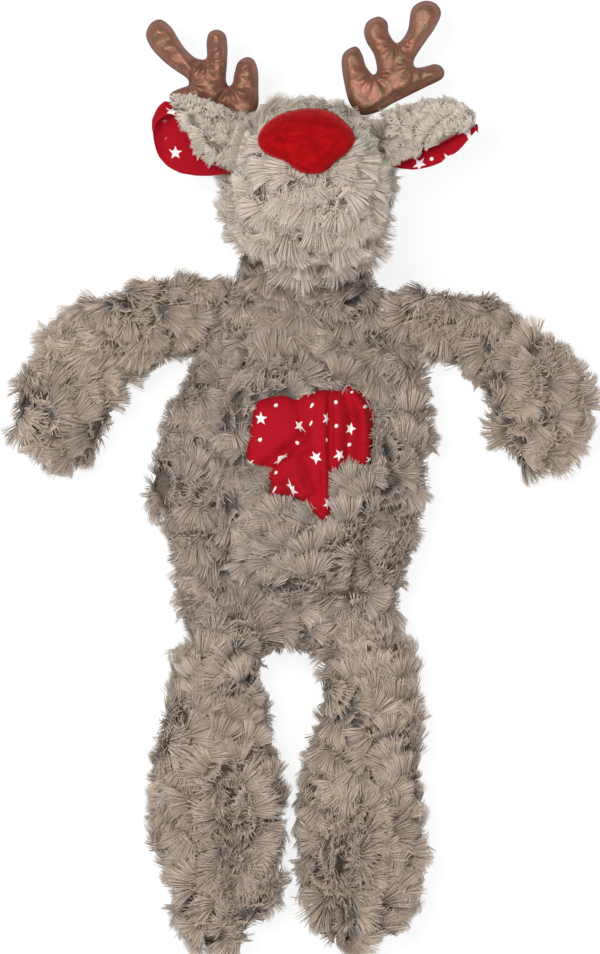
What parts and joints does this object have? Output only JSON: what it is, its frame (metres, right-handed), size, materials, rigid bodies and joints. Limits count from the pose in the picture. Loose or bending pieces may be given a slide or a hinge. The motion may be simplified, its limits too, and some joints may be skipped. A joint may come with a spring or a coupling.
{
  "type": "plush deer",
  "caption": "Floppy long-pile plush deer lying on its back, with a padded muzzle and nose, foil-cloth antlers, folded ears, a belly patch, and arms and legs that fold at sewn seams.",
  "frame": {"origin": "on the flat of the torso's back, where the toy rests on the table, about midway between the hip and neck seams", "axes": "+X to the right as the toy's front is seen, +Y from the feet to the head, +Z out of the toy's front"},
  "size_m": [0.3289, 0.5275, 0.1271],
  "materials": {
    "plush": "long curled pile, warm grey-taupe",
    "face_plush": "long curled pile, a shade lighter",
    "filling": "loose white polyester fibre",
    "nose_velvet": "short-pile red velvet",
    "antler_foil": "bronze metallic foil cloth",
    "printed_cloth": "red cotton with small white stars and dots"
  },
  "bodies": {
    "torso": {"torso": "plush", "torso_filling": "filling", "belly_panel": "plush", "belly_patch": "printed_cloth"},
    "head": {"head": "plush", "head_filling": "filling", "muzzle": "face_plush", "nose": "nose_velvet"},
    "antler_left": {"antler_left": "antler_foil"},
    "antler_right": {"antler_right": "antler_foil"},
    "ear_left": {"ear_left": "plush", "ear_lining_left": "printed_cloth"},
    "ear_right": {"ear_right": "plush", "ear_lining_right": "printed_cloth"},
    "arm_left": {"arm_left": "plush", "arm_left_filling": "filling"},
    "arm_right": {"arm_right": "plush", "arm_right_filling": "filling"},
    "leg_left": {"leg_left": "plush", "leg_left_filling": "filling"},
    "leg_right": {"leg_right": "plush", "leg_right_filling": "filling"}
  },
  "joints": [
    {"name": "neck_nod", "type": "hinge", "parent": "torso", "child": "head", "pos_m": [0.006, 0.108, 0.02], "axis": [1, 0, 0], "range_deg": [-20, 35]},
    {"name": "shoulder_left_fold", "type": "hinge", "parent": "torso", "child": "arm_left", "pos_m": [-0.055, 0.09, 0.02], "axis": [0, 1, 0], "range_deg": [-25, 65]},
    {"name": "shoulder_right_fold", "type": "hinge", "parent": "torso", "child": "arm_right", "pos_m": [0.067, 0.09, 0.02], "axis": [0, -1, 0], "range_deg": [-25, 65]},
    {"name": "hip_left_fold", "type": "hinge", "parent": "torso", "child": "leg_left", "pos_m": [-0.0435, -0.1, 0.02], "axis": [-1, 0, 0], "range_deg": [-25, 65]},
    {"name": "hip_right_fold", "type": "hinge", "parent": "torso", "child": "leg_right", "pos_m": [0.0405, -0.1, 0.02], "axis": [-1, 0, 0], "range_deg": [-25, 65]},
    {"name": "antler_left_bend", "type": "hinge", "parent": "head", "child": "antler_left", "pos_m": [-0.028, 0.2055, 0.04], "axis": [1, 0, 0], "range_deg": [-30, 20], "stiffness_Nm_per_rad": 0.05},
    {"name": "antler_right_bend", "type": "hinge", "parent": "head", "child": "antler_right", "pos_m": [0.04, 0.2055, 0.04], "axis": [1, 0, 0], "range_deg": [-30, 20], "stiffness_Nm_per_rad": 0.05},
    {"name": "ear_left_flap", "type": "hinge", "parent": "head", "child": "ear_left", "pos_m": [-0.041, 0.189, 0.063], "axis": [0, 1, 0], "range_deg": [-5, 35], "stiffness_Nm_per_rad": 0.05},
    {"name": "ear_right_flap", "type": "hinge", "parent": "head", "child": "ear_right", "pos_m": [0.0595, 0.189, 0.063], "axis": [0, -1, 0], "range_deg": [-5, 35], "stiffness_Nm_per_rad": 0.05}
  ]
}
